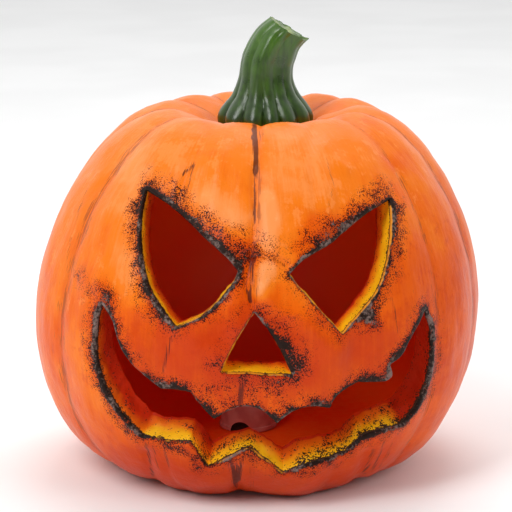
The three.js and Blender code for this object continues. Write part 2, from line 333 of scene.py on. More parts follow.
def band(low, high):
    """Quads between two rings of the same number of points."""
    return np.column_stack([low, np.roll(low, -1), np.roll(high, -1), high])


def halves(quads):
    return [quads[:, [0, 1, 2]], quads[:, [0, 2, 3]]]


def capped(rings, middles):
    """Points, bands of quads and two fans that close a stack of rings."""
    points = np.vstack(rings + [middles])
    ids = np.arange(len(points) - 2).reshape(len(rings), -1)
    bands = [band(low, high) for low, high in zip(ids, ids[1:])]
    fans = []
    for middle, ring in ((len(points) - 2, ids[0]), (len(points) - 1, ids[-1])):
        fans.append(np.column_stack([np.full(len(ring), middle), ring, np.roll(ring, -1)]))
    return points, bands, [fans[0][:, [0, 2, 1]], fans[1]]


class Profile:
    """Half a section, [radius, height], that can be asked by its length or by height."""

    def __init__(self, points):
        self.points = points
        self.length = lengths_along(points)
        top = int(np.argmax(points[:, 1]))
        rising = [i for i in range(top + 1) if points[i, 0] > FOOT_FLAT]
        self.side = points[rising]
        self.side_length = self.length[rising]

    def at(self, along):
        radius = np.interp(along, self.length, self.points[:, 0])
        height = np.interp(along, self.length, self.points[:, 1])
        return radius, height

    def radius_at(self, height):
        return np.interp(height, self.side[:, 1], self.side[:, 0], right=0)

    def length_at(self, height):
        return np.interp(height, self.side[:, 1], self.side_length)


def profiles():
    """The outer section, and the hollow's, one wall thickness inside it."""
    line = curve_through(SECTION, 40)
    way = unit(np.gradient(line, axis=0))
    hollow = np.column_stack([line[:, 0] - way[:, 1] * WALL, line[:, 1] + way[:, 0] * WALL])
    hollow[:, 0] = np.maximum(hollow[:, 0], 0)
    line[:, 1] = np.maximum(line[:, 1], 0)
    return Profile(line), Profile(hollow)


OUTER, HOLLOW = profiles()


def smooth_ramp(value, low, high):
    t = np.clip((value - low) / (high - low), 0, 1)
    return t * t * (3 - 2 * t)


def lean_at(height):
    return LEAN * (np.maximum(height, LEAN_START) - LEAN_PIVOT)


def lobe_at(degrees, starts):
    """Which lobe an azimuth falls in, and how far across it, 0 to 1."""
    ends = np.array([*starts, starts[0] + 360], float)
    turn = (degrees - starts[0]) % 360 + starts[0]
    lobe = np.clip(np.searchsorted(ends, turn, side="right") - 1, 0, len(starts) - 1)
    return lobe, (turn - ends[lobe]) / (ends[lobe + 1] - ends[lobe])


def groove_at(azimuth):
    """Groove depth, 0 to 1, at azimuths in radians."""
    lobe, across = lobe_at(np.degrees(azimuth), [g[0] for g in GROOVES])
    depths = np.array([g[1] for g in GROOVES] + [GROOVES[0][1]], float)
    depth = np.where(across < 0.5, depths[lobe], depths[lobe + 1])
    rise = (np.sin(math.pi * across) ** 2 + GROOVE_SOFTNESS) ** (GROOVE_ROUNDNESS / 2)
    return depth * np.maximum(0, 1 - rise)


def noise_field(points, size, seed):
    """Smooth noise, -1 to 1, of a given size in millimetres at each point."""
    shift = Vector((seed * 7.3, seed * 3.1, seed * 5.7))
    return np.array([noise.noise(Vector(p) / size + shift) for p in points])


def spot(radius, height, azimuth):
    x = lean_at(height) + radius * np.sin(azimuth)
    return np.column_stack([x, -radius * np.cos(azimuth), height])


def lobed(azimuth, along):
    """Points of the lobed outer surface."""
    radius, height = OUTER.at(along)
    low = smooth_ramp(radius, FOOT_FLAT, FOOT_FLAT + FOOT_FADE)
    high = np.minimum(1, radius / RECESS_FADE)
    reach = np.where(height < HEART, low, high)
    pull = 1 - GROOVE_DEPTH * groove_at(azimuth) * reach
    return spot(radius * pull, HEART + (height - HEART) * pull, azimuth)


def lobed_normals(azimuth, along):
    step = 0.4
    across = lobed(azimuth + step / EQUATOR, along) - lobed(azimuth - step / EQUATOR, along)
    up = lobed(azimuth, along + step) - lobed(azimuth, along - step)
    return unit(np.cross(across, up))


def distance_to_line(points, line):
    """Distance from each (x, height) to a line through the given points."""
    best = np.full(len(points), np.inf)
    for a, b in zip(line, line[1:]):
        along = np.subtract(b, a, dtype=float)
        share = np.clip(((points - a) @ along) / (along @ along), 0, 1)
        best = np.minimum(best, np.linalg.norm(points - a - share[:, None] * along, axis=1))
    return best


def stroke_field(points, strokes):
    """Sum of soft strokes on the front half, given points of the surface."""
    flat = points[:, [0, 2]]
    total = np.zeros(len(points))
    for strength, width, line in strokes:
        total += strength * np.exp(-(distance_to_line(flat, line) / width) ** 2)
    return np.where(points[:, 1] < FRONT, total, 0)


def relief(points):
    """Height of the moulded unevenness over the smooth lobes."""
    rough = sum(height * noise_field(points * [1, 1, upright], size, seed)
                for height, size, upright, seed in UNEVENNESS)
    return rough + stroke_field(points, BUMPS)


# ---- openings ----


def to_domain(flat):
    """(azimuth, length along the section) of front-view points on the lobed surface."""
    x, z = flat[:, 0], flat[:, 1]
    along = OUTER.length_at(z)
    azimuth = np.arcsin((x - lean_at(z)) / OUTER.radius_at(z))
    for _ in range(5):
        p = lobed(azimuth, along)
        slope = (lobed(azimuth, along + 0.5)[:, 2] - lobed(azimuth, along - 0.5)[:, 2])
        azimuth = azimuth + (x - p[:, 0]) / -p[:, 1]
        along = along + (z - p[:, 2]) / np.maximum(slope, 0.3)
    return np.column_stack([azimuth, along])


def around(values, width):
    """Values round a closed line, smoothed over a number of places."""
    reach = int(3 * width) + 1
    weights = np.exp(-0.5 * (np.arange(-reach, reach + 1) / width) ** 2)
    weights /= weights.sum()
    total = np.zeros_like(values)
    for shift, weight in zip(range(-reach, reach + 1), weights):
        total += weight * np.roll(values, shift, axis=0)
    return total


class Opening:
    """One opening's edge on the outer surface, and where its walls meet the hollow."""

    def __init__(self, aim, strokes, seed):
        rows = []
        for reach, yellow, points in strokes:
            line = curve_through(points, 24)[:-1]
            rows.append(np.column_stack([line, np.full((len(line), 2), (reach, yellow))]))
        line = np.vstack(rows)
        after = np.roll(line, -1, axis=0)
        if np.sum(line[:, 0] * after[:, 1] - line[:, 1] * after[:, 0]) < 0:
            line = line[::-1]
        line = np.vstack([line, line[:1]])
        length = lengths_along(lobed(*to_domain(line[:, :2]).T))
        places = np.linspace(0, length[-1], int(length[-1] / EDGE_STEP), endpoint=False)
        line = np.column_stack([np.interp(places, length, column) for column in line.T])
        self.burn, self.yellow = around(line[:, 2], 4), around(line[:, 3], 3)
        flat = around(line[:, :2], EDGE_SOFTENING / EDGE_STEP)
        level = np.column_stack([flat, np.zeros(len(flat))])
        wobble = noise_field(level, 7, seed) + 0.6 * noise_field(level, 2.2, seed + 9)
        flat = flat + outward(flat) * (EDGE_WOBBLE * wobble)[:, None]
        self.domain = to_domain(flat)
        self.points = lobed(*self.domain.T)
        self.aim = np.array(aim, float)
        self.seed = seed
        self.inner = self.meet_hollow()
        self.inner_domain = np.column_stack([
            np.arctan2(self.inner[:, 0] - lean_at(self.inner[:, 2]), -self.inner[:, 1]),
            HOLLOW.length_at(self.inner[:, 2]),
        ])

    def meet_hollow(self):
        """The first point inside the hollow on the way from each edge point to the aim."""
        way = unit(self.aim - self.points)
        reach = np.arange(4, 70, 0.2)
        line = self.points[:, None, :] + way[:, None, :] * reach[None, :, None]
        radius = np.hypot(line[..., 0] - lean_at(line[..., 2]), line[..., 1])
        inside = radius < HOLLOW.radius_at(line[..., 2])
        depth = reach[np.argmax(inside, axis=1)]
        depth = around(depth, 1.2) + 1.4 * noise_field(self.points, 4.5, self.seed + 20)
        return self.points + way * depth[:, None]

    def domain_rows(self):
        """Rows of domain points beside the edge, with their distance from it."""
        azimuth, along = self.domain.T
        narrow = OUTER.at(along)[0] / EQUATOR
        out = outward(np.column_stack([azimuth * EQUATOR * narrow, along]))
        rows = []
        for far in RIM_ROWS:
            row = np.column_stack([azimuth + out[:, 0] * far / (EQUATOR * narrow),
                                   along + out[:, 1] * far])
            rows.append((far, row if far < RIM_FINE else row[::2]))
        return rows


def line_rows():
    """Domain points along the thin painted lines, so that the mesh can carry them."""
    rows = []
    for _, width, points in BRUSHED_LINES:
        points = np.array(points, float)
        if np.abs(points[:, 0]).max() > LINE_SIDE or points[:, 1].max() > LINE_TOP:
            continue
        for a, b in zip(points, points[1:]):
            length = np.linalg.norm(b - a)
            side = np.array([b[1] - a[1], a[0] - b[0]]) / length
            count = max(2, int(length / LINE_STEP))
            share = ((np.arange(count) + 0.5) / count)[:, None]
            for offset in LINE_OFFSETS:
                rows.append(to_domain(a + (b - a) * share + side * offset * width))
    low = float(OUTER.length_at(np.array([CRACK_LOW]))[0])
    along = np.arange(low, low + CRACK_LENGTH, LINE_STEP)
    for x in CRACK_COLUMNS:
        rows.append(np.column_stack([x / OUTER.at(along)[0], along]))
    return [(1.0, row) for row in rows]


def inside_loop(points, loop):
    """Which points of the domain lie inside a closed loop."""
    found = np.zeros(len(points), bool)
    low, high = loop.min(0), loop.max(0)
    near = np.nonzero(((points >= low) & (points <= high)).all(1))[0]
    x, y = points[near, 0][:, None], points[near, 1][:, None]
    ax, ay = loop[:, 0][None], loop[:, 1][None]
    bx, by = np.roll(loop[:, 0], -1)[None], np.roll(loop[:, 1], -1)[None]
    spans = (ay > y) != (by > y)
    rise = np.where(by == ay, 1, by - ay)
    crossing = spans & (x < (bx - ax) * (y - ay) / rise + ax)
    found[near] = crossing.sum(1) % 2 == 1
    return found


def grid(profile, step, low, high, turn):
    """Staggered rows of domain points between two lengths, out to an azimuth each way."""
    rows = []
    count = max(2, round((high - low) / step))
    for i, along in enumerate(np.linspace(low, high, count + 1)):
        radius = max(float(profile.at(along)[0]), 3)
        columns = max(12, round(2 * turn * radius / step))
        shift = 0.5 * (i % 2)
        middle = -turn + 2 * turn * (np.arange(1, columns) - shift) / columns
        azimuth = np.concatenate([[-turn], middle, [turn]])
        rows.append(np.column_stack([azimuth, np.full(len(azimuth), along)]))
    return rows


def triangulate(points, loops):
    """Delaunay triangles of the domain, without those inside the loops."""
    flat = points * np.array([EQUATOR, 1.0])
    edges = []
    for first, count in loops:
        edges += [(first + i, first + (i + 1) % count) for i in range(count)]
    result = delaunay_2d_cdt([Vector(p) for p in flat], edges, [], 0, 1e-7, False)
    if len(result[0]) != len(points):
        raise ValueError(f"the outlines cross: {len(result[0])} points from {len(points)}")
    triangles = np.array(result[2])
    owner = np.full(len(points), -1)
    for i, (first, count) in enumerate(loops):
        owner[first:first + count] = i
    kept = np.ones(len(triangles), bool)
    ids = owner[triangles]
    for i, (first, count) in enumerate(loops):
        own = np.nonzero((ids == i).all(1))[0]
        middle = points[triangles[own]].mean(1)
        kept[own[inside_loop(middle, points[first:first + count])]] = False
    triangles = triangles[kept]
    a, b, c = (flat[triangles[:, i]] for i in range(3))
    turn = (b[:, 0] - a[:, 0]) * (c[:, 1] - a[:, 1]) - (b[:, 1] - a[:, 1]) * (c[:, 0] - a[:, 0])
    triangles[turn < 0] = triangles[turn < 0][:, ::-1]
    return triangles[np.abs(turn) > 1e-9]


class Skin:
    """A closed surface over a profile with the openings' loops left out."""

    def __init__(self, profile, loops, step, face_step=None, edge_rows=()):
        rows = grid(profile, step, END_GAP, profile.length[-1] - END_GAP, math.pi)
        fine = []
        if face_step:
            low, high = profile.length_at(FACE_LOW), profile.length_at(FACE_HIGH)
            for i, row in enumerate(rows):
                face = (np.abs(row[:, 0]) < FACE_TURN) & (row[:, 1] > low) & (row[:, 1] < high)
                rows[i] = row[~face]
            fine = grid(profile, face_step, low, high, FACE_TURN)
        tree = tree_of(np.vstack([self.place(profile, loop) for loop in loops]))
        clear = RIM_CLEAR if face_step else INSIDE_CLEAR * step
        kept = [self.clear_of(profile, np.vstack(rows[1:-1] + fine), tree, clear, loops)]
        for far, row in edge_rows:
            kept.append(self.clear_of(profile, row, tree, far * 0.98, loops))
        sizes = [len(loop) for loop in loops]
        self.loops = [(sum(sizes[:i]), size) for i, size in enumerate(sizes)]
        self.points = np.vstack(loops + kept + [rows[0], rows[-1]])
        triangles = triangulate(self.points, self.loops)
        self.weld(triangles, len(rows[0]), len(rows[-1]))

    @staticmethod
    def place(profile, domain):
        return spot(*profile.at(domain[:, 1]), domain[:, 0])

    def clear_of(self, profile, points, tree, least, loops):
        """The points that lie outside every loop and at least this far from its edge."""
        far = np.array([tree.find(p)[2] for p in self.place(profile, points)])
        good = far >= least
        for loop in loops:
            good &= ~inside_loop(points, loop)
        return points[good]

    def weld(self, triangles, first_size, last_size):
        """Joins the two sides of the seam at the back, and closes both ends with fans."""
        target = np.arange(len(self.points))
        left = {}
        for i in np.nonzero(np.abs(self.points[:, 0] + math.pi) < 1e-6)[0]:
            left[round(float(self.points[i, 1]), 4)] = i
        for i in np.nonzero(np.abs(self.points[:, 0] - math.pi) < 1e-6)[0]:
            target[i] = left[round(float(self.points[i, 1]), 4)]
        triangles = target[triangles]
        count = len(self.points)
        last = np.arange(count - last_size, count)
        first = np.arange(count - last_size - first_size, count - last_size)
        foot = [(count, target[b], target[a]) for a, b in zip(first, first[1:])]
        top = [(count + 1, target[a], target[b]) for a, b in zip(last, last[1:])]
        ends = np.array([[0, 0], [0, 1e6]])
        self.points = np.vstack([self.points, ends])
        self.triangles = np.vstack([triangles, foot, top])


def rim_drop(far):
    """How far the moulded edge has rounded inward at a distance from the opening."""
    short = np.clip(RIM_RADIUS - far, 0, RIM_RADIUS)
    return RIM_RADIUS - np.sqrt(RIM_RADIUS ** 2 - short ** 2)


VALUES = ("black", "lines", "peach", "edge", "groove", "deep", "yellow", "along")


def value_rows(count, **given):
    """Values of some vertices, a column for each of VALUES, 0 where none is given."""
    return np.column_stack([np.full(count, given.get(name, 0.0)) for name in VALUES])


def shell_mesh():
    """Vertices, faces, face materials and vertex values of the whole shell."""
    openings = [Opening(aim, strokes, 40 + i) for i, (aim, strokes) in enumerate(OPENINGS)]
    edge_rows = [row for opening in openings for row in opening.domain_rows()] + line_rows()
    outer = Skin(OUTER, [o.domain for o in openings], SKIN_STEP, FACE_STEP, edge_rows)
    inner = Skin(HOLLOW, [o.inner_domain for o in openings], INSIDE_STEP)

    azimuth, along = outer.points.T
    along = np.minimum(along, OUTER.length[-1])
    smooth = lobed(azimuth, along)
    normals = lobed_normals(azimuth, np.clip(along, 1, OUTER.length[-1] - 1))
    edge = np.vstack([o.points for o in openings])
    tree = tree_of(edge)
    found = [tree.find(p) for p in smooth]
    nearest = np.array([f[1] for f in found])
    far = np.array([f[2] for f in found])
    far[:len(edge)] = 0
    burn = np.concatenate([o.burn for o in openings])[nearest]
    even = smooth_ramp(OUTER.at(along)[0], *FOOT_EVEN) * (smooth[:, 2] < HEART)
    rise = relief(smooth) * (1 - even) - rim_drop(far)
    placed = smooth + normals * rise[:, None]
    placed[:, 2] = np.maximum(placed[:, 2], 0)

    black = BLACK_LIGHT + BLACK_HEAVY * smooth_ramp(burn, 0.5, 4.5)
    black *= np.exp(-(far / (BLACK_REACH * burn)) ** 2)
    black += HAZE * np.exp(-far / HAZE_REACH)
    black += STROKE_SHARE * stroke_field(smooth, BLACK_STROKES)
    # A value of painted light and tone: painted highlights and a paler top, painted shade at the
    # foot, under the body and down the right side, and deeper paint round the openings.
    peach = stroke_field(smooth, PAINTED_HIGHLIGHT_STROKES) - stroke_field(smooth, DEEP_PAINT_AND_SHADE_STROKES)
    peach += (PAINTED_LIGHT_TOP * smooth_ramp(smooth[:, 2], *PAINTED_LIGHT_HEIGHTS)
              - PAINTED_SHADE_FOOT * smooth_ramp(smooth[:, 2], *PAINTED_SHADE_HEIGHTS))

    inside = spot(*HOLLOW.at(np.minimum(inner.points[:, 1], HOLLOW.length[-1])),
                  inner.points[:, 0])
    for (start, count), opening in zip(inner.loops, openings):
        inside[start:start + count] = opening.inner
    vertices = [placed, inside]
    values = [value_rows(
        len(placed), black=np.minimum(black, 1), lines=stroke_field(smooth, BRUSHED_LINES),
        peach=peach, edge=far, groove=groove_at(azimuth), along=along,
        yellow=np.concatenate([o.yellow for o in openings])[nearest],
    ), value_rows(len(inside), deep=1.0)]
    first = len(placed)
    faces = [outer.triangles, inner.triangles[:, ::-1] + first]
    materials = [np.zeros(len(outer.triangles)), np.full(len(inner.triangles), 2)]

    after = first + len(inside)
    for (start, count), (inner_start, _), opening in zip(outer.loops, inner.loops, openings):
        top = placed[start:start + count]
        through = opening.inner - top
        rings = [np.arange(start, start + count)]
        facing = unit(np.cross(tangents(top), through))
        for k in range(1, WALL_STEPS):
            share = (k / WALL_STEPS) ** WALL_CROWDING
            ring = top + through * share
            rough = 0.8 * noise_field(ring, 6, opening.seed)
            rough += 0.3 * noise_field(ring, 2.4, opening.seed)
            # Smoother near the edge, and roughest part of the way in.
            fade = math.sin(math.pi * min(share * 1.3, 0.5 + share * 0.25))
            ring = ring + facing * (rough * max(fade, 0.25))[:, None]
            vertices.append(ring)
            near = share * np.linalg.norm(through, axis=1)
            soot = (1 - 0.5 * opening.yellow) * np.exp(-near / (SOOT_REACH * opening.burn))
            soot += stroke_field(ring, WALL_STROKES) * (1 - 0.6 * share)
            values.append(value_rows(count, deep=share, yellow=opening.yellow, black=soot,
                                     edge=near))
            rings.append(np.arange(after, after + count))
            after += count
        rings.append(np.arange(inner_start, inner_start + count) + first)
        for low, high in zip(rings, rings[1:]):
            faces += halves(band(low, high))
            materials.append(np.ones(2 * count))
    return (np.vstack(vertices), np.vstack(faces), np.concatenate(materials).astype(int),
            dict(zip(VALUES, np.vstack(values).T)))


# ---- stem ----

STEM_RINGS = [  # x, height, radius, lean in degrees
    (4.8, 175.0, 23.2, 0), (4.8, 178.0, 24.4, 0), (4.8, 182, 23.9, 0), (4.9, 186.5, 21.0, 0),
    (5, 191.5, 16.9, 0), (5, 199, 14.0, 2), (5.6, 206, 13.3, 7), (7, 211, 13.1, 14),
    (11, 219, 12.1, 25), (16.2, 224.1, 10.9, 33),
]
RIB_AZIMUTHS = [-86, -50, -14, 10, 33, 64, 96, 128, 160, 190, 216, 244]
RIB_DEPTH_FOOT, RIB_DEPTH_TOP = 0.17, 0.04
RIB_TWIST = 10  # degrees that the ribs turn from foot to end
RIDGE, HOLLOW_SIDE, SPINE_WIDTH = -14, 24, 17  # azimuths of a ridge and a hollow, higher up
RIDGE_RISE, HOLLOW_SINK = 0.12, 0.10
STEM_SIDES, STEM_SPAN_STEPS = 192, 9
# Depth under the recess of the stem's lowest ring, and the most for the next two.
FOOT_SINKS = (0.3, -1.0, -2.4)
FOOT_SHARES = (0.8, 0.55, 0.3)  # rings under the foot, as shares of its radius
LIP_TIP, LIP_TIP_WIDTH = 97, 10  # the cut's lip is drawn out at this azimuth
CUT_SHARES = (0.93, 0.84, 0.7, 0.52, 0.34, 0.16)
TEAR, TEAR_RADIUS = (11.0, -10.0, 223.0), 3.4  # a torn spot below the cut, at the front


def recess_height(x, y):
    """Height of the shell's recess under a point of the stem's foot."""
    inward = OUTER.points[int(np.argmax(OUTER.points[:, 1])):]
    radius = np.hypot(x - lean_at(176.0), y)
    return np.interp(radius, inward[::-1, 0], inward[::-1, 1])


def rib_at(degrees):
    """0 on a rib's crest line, 1 in the valley between two ribs."""
    across = lobe_at(degrees, RIB_AZIMUTHS)[1]
    return 1 - np.abs(np.cos(math.pi * across)) ** 0.75


def bell(azimuth, middle, width):
    return np.exp(-((azimuth - middle) / width) ** 2)


def stem_mesh():
    """Points, triangles and vertex values of the ribbed stalk."""
    line = curve_through(STEM_RINGS, STEM_SPAN_STEPS)
    azimuth = np.degrees(np.arange(STEM_SIDES) * TAU / STEM_SIDES)
    turn = np.radians(azimuth)
    ridge = bell(azimuth, RIDGE, SPINE_WIDTH) + bell(azimuth, RIDGE + 360, SPINE_WIDTH)
    spine = RIDGE_RISE * ridge - HOLLOW_SINK * bell(azimuth, HOLLOW_SIDE, SPINE_WIDTH)
    rings, ribs = [], []
    low, high = line[0, 1], line[-1, 1]
    for x, height, radius, lean in line:
        up = (height - low) / (high - low)
        depth = RIB_DEPTH_FOOT + (RIB_DEPTH_TOP - RIB_DEPTH_FOOT) * min(1, up * 1.7)
        valley = rib_at(azimuth + RIB_TWIST * up)
        r = radius * (1 - depth * valley + smooth_ramp(up, 0.2, 0.55) * spine)
        side, lean = r * np.sin(turn), math.radians(lean)
        rings.append(np.column_stack([
            x + side * math.cos(lean), -r * np.cos(turn), height - side * math.sin(lean),
        ]))
        # This valley value drives the painted shade in the rib valleys.
        ribs.append(valley * (1 - smooth_ramp(up, 0.1, 0.55)))
    # The foot follows the recess that it stands in.
    for k, sink in enumerate(FOOT_SINKS):
        ground = recess_height(rings[k][:, 0], rings[k][:, 1]) - sink
        rings[k][:, 2] = np.maximum(rings[k][:, 2], ground) if k else ground
    for ring in rings[1:]:
        bump = 0.28 * noise_field(ring, 9, 60) + 0.05 * noise_field(ring, 3, 61)
        ring += unit(ring - ring.mean(0)) * bump[:, None]
    # The cut end: a ragged lip, then a shallow torn face.
    lip = rings[-1]
    centre = lip.mean(0)
    lean = math.radians(STEM_RINGS[-1][3])
    normal = np.array([math.sin(lean), 0, math.cos(lean)])
    ragged = 0.5 * noise_field(lip, 2.5, 62) + 0.25 * noise_field(lip, 1.1, 63)
    tip = bell(azimuth, LIP_TIP, LIP_TIP_WIDTH)
    lip += normal * (ragged + 0.2)[:, None] + np.outer(tip, [1.6, 0, 1.0])
    for share in CUT_SHARES:
        ring = centre + (lip - centre) * share
        sunk = -1.3 * (1 - share) ** 0.5
        torn = 0.55 * noise_field(ring, 3.2, 64) + 0.25 * noise_field(ring, 1.2, 65)
        rings.append(ring + normal * (sunk + torn)[:, None])
    for share in FOOT_SHARES:
        foot = rings[0].copy()
        middle = foot.mean(0)[:2]
        foot[:, :2] = middle + (foot[:, :2] - middle) * share
        foot[:, 2] = recess_height(foot[:, 0], foot[:, 1]) - FOOT_SINKS[0]
        rings.insert(0, foot)
    points, bands, fans = capped(rings, [rings[0].mean(0), rings[-1].mean(0)])
    faces = [half for quads in bands for half in halves(quads)] + fans
    ids = np.arange(len(points) - 2).reshape(-1, STEM_SIDES)
    valley, cut = np.zeros(len(points)), np.zeros(len(points))
    valley[ids[len(FOOT_SHARES):-len(CUT_SHARES)]] = ribs
    cut[ids[-len(CUT_SHARES):]] = 1
    cut[-1] = 1
    tear = np.exp(-(np.linalg.norm(points - TEAR, axis=1) / TEAR_RADIUS) ** 2)
    points[:, 1] += 1.6 * tear * (points[:, 1] < 0)
    return points, np.vstack(faces), {"valley": valley, "cut": np.maximum(cut, 1.1 * tear)}


# ---- light unit ----

LIGHT_X, LIGHT_Y, LIGHT_RADIUS, LIGHT_HEIGHT, LIGHT_SHOULDER = -4.0, -6.0, 15.0, 20.0, 6.0
LIGHT_FOOT = [(-0.6, 0), (0, 0.6), (0, 2.2), (-0.7, 2.7)]  # a band: past the radius, height
LIGHT_STEP_IN = 0.9  # how far the wall above the band stands back
NOTCH_X, NOTCH_WIDTH, NOTCH_HEIGHT, NOTCH_DEPTH = LIGHT_X - 4, 10.4, 5.6, 5.0
LIGHT_SIDES, ARC_STEPS = 96, 16
LIGHT_FLOOR = WALL + 0.3


def light_unit_object():
    """A turned dome with a banded foot, and an arched notch cut by a boolean."""
    wall, wall_top = LIGHT_RADIUS - LIGHT_STEP_IN, LIGHT_HEIGHT - LIGHT_SHOULDER
    line = [(LIGHT_RADIUS + past, height) for past, height in LIGHT_FOOT] + [(wall, wall_top)]
    for i in range(1, ARC_STEPS):
        turn = i / ARC_STEPS * math.pi / 2
        line.append((wall * math.cos(turn), wall_top + LIGHT_SHOULDER * math.sin(turn)))
    turn = np.arange(LIGHT_SIDES) * TAU / LIGHT_SIDES
    x, y = np.sin(turn), -np.cos(turn)
    middle = np.array([LIGHT_X, LIGHT_Y, LIGHT_FLOOR])
    rings = [middle + np.column_stack([radius * x, radius * y, np.full(LIGHT_SIDES, height)])
             for radius, height in line]
    points, bands, fans = capped(rings, [middle, middle + [0, 0, LIGHT_HEIGHT]])
    dome = mesh_object("light_unit_dome", points, [f for part in bands + fans for f in part])
    dome.data.materials.append(light_plastic())
    half = NOTCH_WIDTH / 2
    arch = [(-half, -1), (half, -1)]
    for i in range(ARC_STEPS + 1):
        turn = i / ARC_STEPS * math.pi
        arch.append((half * math.cos(turn), NOTCH_HEIGHT - half + half * math.sin(turn)))
    front, back = LIGHT_Y - LIGHT_RADIUS - 3, LIGHT_Y - LIGHT_RADIUS + NOTCH_DEPTH
    block = [(NOTCH_X + x, y, LIGHT_FLOOR + z) for y in (front, back) for x, z in arch]
    near = np.arange(len(arch))
    far = near + len(arch)
    sides = [*band(far, near), near, far[::-1]]
    tool = mesh_object("notch_tool", block, sides)
    # The notch's faces take this painted shade.
    tool.data.materials.append(notch_painted_shade())
    cut = dome.modifiers.new("notch", "BOOLEAN")
    cut.object, cut.operation, cut.solver = tool, "DIFFERENCE", "EXACT"
    cut.material_mode = "TRANSFER"
    apply_modifiers(dome)
    bpy.data.objects.remove(tool)
    dome.data.set_sharp_from_angle(angle=math.radians(40))
    return dome


# ---- Blender helpers ----


def add_object(name, data, location=(0, 0, 0)):
    made = bpy.data.objects.new(name, data)
    made.location = location
    bpy.context.collection.objects.link(made)
    return made


def mesh_object(name, points, faces, values=None, materials=None):
    """A smooth-shaded object from points in millimetres, with values on its vertices."""
    mesh = bpy.data.meshes.new(name)
    mesh.from_pydata((np.asarray(points) * MM).tolist(), [], [list(map(int, f)) for f in faces])
    mesh.shade_smooth()
    for key, numbers in (values or {}).items():
        layer = mesh.attributes.new(key, "FLOAT", "POINT")
        layer.data.foreach_set("value", np.asarray(numbers, np.float32))
    if materials is not None:
        mesh.polygons.foreach_set("material_index", materials)
    return add_object(name, mesh)


def apply_modifiers(made):
    graph = bpy.context.evaluated_depsgraph_get()
    mesh = bpy.data.meshes.new_from_object(made.evaluated_get(graph))
    made.modifiers.clear()
    made.data = mesh


def drop_unused(points, faces, values):
    """The mesh without the points that no face uses."""
    used = np.unique(faces)
    place = np.full(len(points), -1)
    place[used] = np.arange(len(used))
    return points[used], place[faces], {k: v[used] for k, v in values.items()}


def srgb(red, green, blue):
    """Linear colour of a screen colour given as 0 to 255."""
    def linear(c):
        c /= 255
        return c / 12.92 if c <= 0.04045 else ((c + 0.055) / 1.055) ** 2.4
    return (linear(red), linear(green), linear(blue), 1.0)


def add_node(tree, kind, inputs, output=0, **settings):
    """A new node's output, its inputs given as {name or place: an output or a value}."""
    node = tree.nodes.new("ShaderNode" + kind)
    for key, value in settings.items():
        setattr(node, key, value)
    for key, value in inputs.items():
        feed(tree, node.inputs[key], value)
    return node.outputs[output]


def feed(tree, socket, value):
    if isinstance(value, bpy.types.NodeSocket):
        tree.links.new(value, socket)
    else:
        socket.default_value = value


def span(value, low, high, start, end):
    """The inputs of a Map Range node."""
    return {"Value": value, "From Min": low, "From Max": high, "To Min": start, "To Max": end}


class Recipe:
    """A material being built: each call adds a node and returns its output."""

    def __init__(self, name):
        self.material = bpy.data.materials.new(name)
        self.material.use_nodes = True
        self.tree = self.material.node_tree
        self.shader = self.tree.nodes["Principled BSDF"]
        self.place = self.node("TexCoord", {}, "Object")

    def node(self, kind, inputs, output=0, **settings):
        return add_node(self.tree, kind, inputs, output, **settings)

    def value(self, name):
        return self.node("Attribute", {}, "Fac", attribute_name=name)

    def math(self, operation, a, b=0.0):
        return self.node("Math", {0: a, 1: b}, operation=operation)

    def vector(self, operation, a, b=(0, 0, 0)):
        return self.node("VectorMath", {0: a, 1: b}, operation=operation)

    def texture(self, place, scale, detail, rough):
        inputs = {"Vector": place, "Scale": scale, "Detail": detail, "Roughness": rough}
        return self.node("TexNoise", inputs, "Fac")

    def noise(self, size, detail=2.0, stretch=(1, 1, 1), rough=0.5):
        """Noise, about 0.2 to 0.8, of a size in millimetres."""
        place = self.vector("MULTIPLY", self.place, stretch)
        return self.texture(place, 1 / (size * MM), detail, rough)

    def fibres(self, size, length, detail=3.0, rough=0.65):
        """Noise drawn out along the grooves, of a width and length in millimetres."""
        out = self.vector("NORMALIZE", self.vector("MULTIPLY", self.place, (1, 1, 0)))
        ring = self.vector("MULTIPLY", out, (EQUATOR / size,) * 3)
        along = self.math("MULTIPLY", self.value("along"), 1 / length)
        place = self.vector("ADD", ring, self.node("CombineXYZ", {"Z": along}))
        return self.texture(place, 1, detail, rough)

    def weigh(self, *pairs):
        """Sum of outputs times numbers."""
        total = 0.0
        for value, weight in pairs:
            total = self.math("ADD", self.math("MULTIPLY", value, weight), total)
        return total

    def ramp(self, value, low, high, start=0.0, end=1.0):
        inputs = span(value, low, high, start, end)
        return self.node("MapRange", inputs, "Result", interpolation_type="SMOOTHSTEP")

    def mix(self, share, a, b):
        return self.node("Mix", {0: share, 6: a, 7: b}, 2, data_type="RGBA")

    def paint(self, colour, mask, low, high, over, most=1.0):
        """The colour with another over it, more as the mask goes from low to high."""
        return self.mix(self.ramp(mask, low, high, 0.0, most), colour, srgb(*over))

    def finish(self, colour, rough, specular, bumps=0.0, depth=0.0):
        """The finished material, with bumps of a depth in millimetres."""
        normal = self.node("Bump", {"Distance": depth * MM, "Height": bumps}, "Normal")
        for name, value in (("Base Color", colour), ("Roughness", rough), ("Normal", normal),
                            ("Specular IOR Level", specular)):
            feed(self.tree, self.shader.inputs[name], value)
        return self.material


# ---- materials ----


